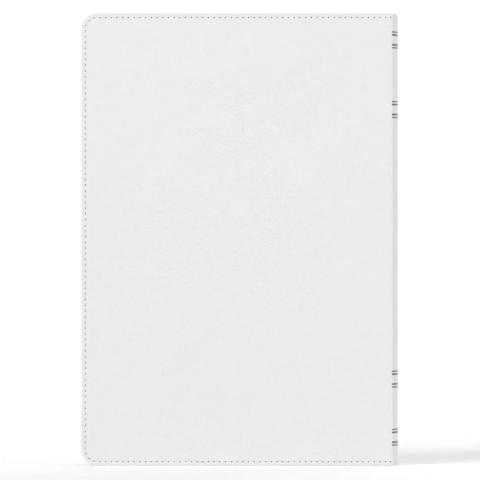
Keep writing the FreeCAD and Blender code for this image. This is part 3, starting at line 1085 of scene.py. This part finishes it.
def build_block():
    """The silk bands, which are the only new pieces of the text block."""
    bands = (("head_silk_band", "headband", True), ("tail_silk_band", "tailband", False))
    for name, node, up in bands:
        band = headband(name, node, up)
        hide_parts(node)
        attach(band, "text_block")


def dress_cad_nodes():
    """Give every carried-over CAD node the material of its slot."""
    by_slot = {
        "binder_board": BOARD, "endpaper": ENDPAPER, "bible_paper": PAGES,
        "linen_thread": LINEN_THREAD, "kraft_lining": KRAFT, "mull_cloth": MULL,
        "ribbon_satin": SATIN, "cover_leather": LEATHER, "cover_thread": COVER_THREAD,
        "silver_foil": FOIL, "headband_cloth": HEADBAND,
    }
    slots = {part["node"]: part["material_slot"] for part in frame["record"]["subparts"]}
    for node, obj in frame["nodes"].items():
        material = by_slot[slots[node]]
        if not obj.data.materials:
            obj.data.materials.append(material)
        for entry in obj.material_slots:
            entry.material = material


# --------------------------------------------------------------------- stage
# The floor in millimetres: it runs back, bends up and becomes a wall.
FLOOR_FRONT_Y = -4000.0
FLOOR_HALF_W = 6000.0
WALL_BEND_Y = 2600.0
WALL_BEND_R = 1400.0
WALL_BEND_STEPS = 12
WALL_TOP_Z = 5200.0


def build_stage():
    """Pale floor that curves up behind the object."""
    run = [(FLOOR_FRONT_Y, 0.0), (WALL_BEND_Y, 0.0)]
    for n in range(1, WALL_BEND_STEPS + 1):
        a = math.pi / 2 * n / WALL_BEND_STEPS
        y = WALL_BEND_Y + WALL_BEND_R * math.sin(a)
        run.append((y, WALL_BEND_R * (1 - math.cos(a))))
    run.append((WALL_BEND_Y + WALL_BEND_R, WALL_TOP_Z))
    points = [(x, y, z) for x in (-FLOOR_HALF_W, FLOOR_HALF_W) for y, z in run]
    faces = grid_faces(2, len(run))
    floor = mesh_object("studio_floor", points, faces, [floor_material()])
    for polygon in floor.data.polygons:
        polygon.use_smooth = True


def area_light(name, place, target, size, power):
    """A white rectangular lamp, in metres and watts, turned to its target."""
    light = bpy.data.lights.new(name, "AREA")
    light.shape = "RECTANGLE"
    light.size, light.size_y = size
    light.energy = power
    obj = bpy.data.objects.new(name, light)
    obj.location = place
    obj.rotation_euler = (Vector(target) - Vector(place)).to_track_quat("-Z", "Y").to_euler()
    bpy.context.scene.collection.objects.link(obj)


WORLD_STRENGTH = 0.31


def build_lights():
    """Large soft key from the left, weaker lamps round it, and one for the wall."""
    middle = (0.0, 0.0, 0.11)
    area_light("key", (-1.9, -2.5, 2.4), middle, (2.4, 2.4), 82.0)
    area_light("fill", (2.4, -1.3, 0.7), middle, (1.6, 1.6), 22.0)
    area_light("back", (0.5, 1.6, 1.4), middle, (1.4, 1.0), 8.0)
    area_light("wall", (0.0, 1.9, 2.4), (0.0, 4.0, 1.0), (3.0, 1.0), 24.0)
    world = bpy.data.worlds.new("studio")
    world.use_nodes = True
    background = world.node_tree.nodes["Background"]
    background.inputs["Color"].default_value = (1.0, 1.0, 1.0, 1.0)
    background.inputs["Strength"].default_value = WORLD_STRENGTH
    bpy.context.scene.world = world
    bpy.context.scene.view_settings.view_transform = "Standard"


# Metres and degrees. The view is the width seen at the back cover's plane.
CAMERA_DISTANCE = 3.0
CAMERA_AZIMUTH = 0.5
CAMERA_VIEW = 0.2346
CAMERA_TARGET = (-0.00005, 0.0, 0.1103)


def build_camera():
    """Level camera, far off and almost square to the back cover."""
    camera = bpy.data.cameras.new("camera")
    camera.sensor_width = 36.0
    camera.lens = camera.sensor_width * (CAMERA_DISTANCE - HALF_T * MM) / CAMERA_VIEW
    obj = bpy.data.objects.new("camera", camera)
    azimuth = math.radians(CAMERA_AZIMUTH)
    target = Vector(CAMERA_TARGET)
    back = Vector((math.sin(azimuth), -math.cos(azimuth), 0.0))
    obj.location = target + back * CAMERA_DISTANCE
    obj.rotation_euler = (-back).to_track_quat("-Z", "Y").to_euler()
    bpy.context.scene.collection.objects.link(obj)
    bpy.context.scene.camera = obj


build_case()
build_block()
dress_cad_nodes()
build_stage()
build_lights()
build_camera()
